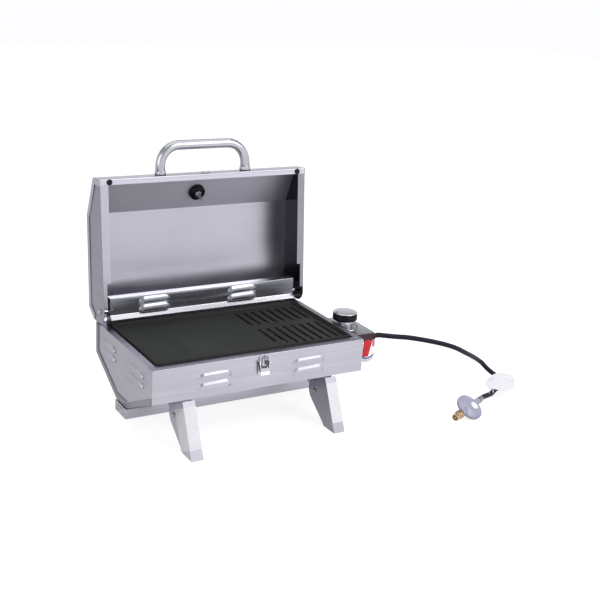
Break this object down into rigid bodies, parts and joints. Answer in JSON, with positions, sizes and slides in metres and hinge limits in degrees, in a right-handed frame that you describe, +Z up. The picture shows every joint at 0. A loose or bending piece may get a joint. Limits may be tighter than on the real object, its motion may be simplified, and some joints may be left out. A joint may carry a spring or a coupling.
{
  "type": "folding camp grill",
  "caption": "Stainless tabletop gas grill with an open hinged lid, a part-slotted cast plate, folding legs, a pull-out grease tray and a regulator on a hose.",
  "frame": {"origin": "on the ground, under the middle of the grill's box without its gas line", "axes": "+X to the grill's right where the knob is, +Y to the rear where the lid is hinged, +Z up"},
  "size_m": [1.002, 0.5057, 0.5955],
  "materials": {
    "stainless": "satin",
    "polished_steel": "polished",
    "chrome": "polished",
    "zinc": "satin",
    "brass": "satin",
    "cast_iron": "matte",
    "black_plastic": "satin",
    "dial_white": "satin",
    "needle_red": "satin",
    "lens": "polished",
    "rubber": "satin",
    "ceramic": "satin"
  },
  "bodies": {
    "base": {"trough_sheet": "stainless", "front_panel": "stainless", "side_panel_left": "stainless", "side_panel_right": "stainless", "rear_guard": "polished_steel", "ledge_left": "stainless", "ledge_right": "stainless", "cooking_plate": "cast_iron", "heat_plate_front": "stainless", "heat_plate_rear": "stainless", "burner_tube": "stainless", "ignition_electrode": "ceramic", "tray_rail_front": "zinc", "tray_rail_rear": "zinc", "control_box": "stainless", "knob_bezel": "chrome", "knob_collar": "chrome", "gas_valve": "brass", "inlet_pipe": "brass", "latch_base": "zinc", "hinge_bolt_left": "chrome", "hinge_bolt_right": "chrome", "leg_bracket_front_left": "stainless", "leg_bracket_front_right": "stainless", "leg_bracket_rear_left": "stainless", "leg_bracket_rear_right": "stainless", "leg_pin_front_left": "zinc", "leg_pin_front_right": "zinc", "leg_pin_rear_left": "zinc", "leg_pin_rear_right": "zinc", "hose": "rubber", "hose_ferrule": "zinc", "regulator_body": "zinc", "regulator_cover": "zinc", "tank_fitting": "brass"},
    "lid": {"lid_sheet": "stainless", "lid_side_left": "stainless", "lid_side_right": "stainless", "lid_handle": "chrome", "handle_collar_left": "black_plastic", "handle_collar_right": "black_plastic", "thermometer_case": "black_plastic", "thermometer_face": "dial_white", "thermometer_needle": "needle_red", "thermometer_lens": "lens", "thermometer_probe": "zinc", "latch_keeper": "zinc", "bumper_left": "rubber", "bumper_right": "rubber"},
    "grease_tray": {"grease_tray": "stainless"},
    "valve_plunger": {"valve_plunger": "brass"},
    "knob": {"valve_stem": "brass", "knob": "black_plastic", "knob_cap": "polished_steel"},
    "latch_lever": {"latch_lever": "zinc"},
    "latch_bail": {"latch_bail": "zinc"},
    "leg_front_left": {"leg_front_left": "stainless"},
    "leg_front_right": {"leg_front_right": "stainless"},
    "leg_rear_left": {"leg_rear_left": "stainless"},
    "leg_rear_right": {"leg_rear_right": "stainless"}
  },
  "joints": [
    {"name": "lid_hinge", "type": "hinge", "parent": "base", "child": "lid", "pos_m": [-0.03615, 0.13555, 0.222], "axis": [1, 0, 0], "range_deg": [0, 95]},
    {"name": "tray_slide", "type": "slide", "parent": "base", "child": "grease_tray", "axis": [-1, 0, 0], "range_m": [0, 0.42]},
    {"name": "knob_push", "type": "slide", "parent": "base", "child": "valve_plunger", "axis": [0, 0, -1], "range_m": [0, 0.0025], "stiffness_N_per_m": 1500, "springref_m": -0.003},
    {"name": "knob_turn", "type": "hinge", "parent": "valve_plunger", "child": "knob", "pos_m": [0.25385, -0.02945, 0.193], "axis": [0, 0, 1], "range_deg": [0, 210]},
    {"name": "latch_lever_hinge", "type": "hinge", "parent": "base", "child": "latch_lever", "pos_m": [-0.03615, -0.16995, 0.173], "axis": [-1, 0, 0], "range_deg": [0, 100]},
    {"name": "latch_bail_hinge", "type": "hinge", "parent": "latch_lever", "child": "latch_bail", "pos_m": [-0.03615, -0.16995, 0.167], "axis": [1, 0, 0], "range_deg": [0, 100]},
    {"name": "leg_front_left_hinge", "type": "hinge", "parent": "base", "child": "leg_front_left", "pos_m": [-0.2094, -0.12245, 0.068], "axis": [1, 0, 0], "range_deg": [0, 105]},
    {"name": "leg_front_right_hinge", "type": "hinge", "parent": "base", "child": "leg_front_right", "pos_m": [0.1371, -0.12245, 0.068], "axis": [1, 0, 0], "range_deg": [0, 105]},
    {"name": "leg_rear_left_hinge", "type": "hinge", "parent": "base", "child": "leg_rear_left", "pos_m": [-0.2094, 0.11555, 0.068], "axis": [-1, 0, 0], "range_deg": [0, 105]},
    {"name": "leg_rear_right_hinge", "type": "hinge", "parent": "base", "child": "leg_rear_right", "pos_m": [0.1371, 0.11555, 0.068], "axis": [-1, 0, 0], "range_deg": [0, 105]}
  ],
  "couplings": [
    {"joint": "latch_bail_hinge", "follows": "latch_lever_hinge", "ratio": 1}
  ]
}
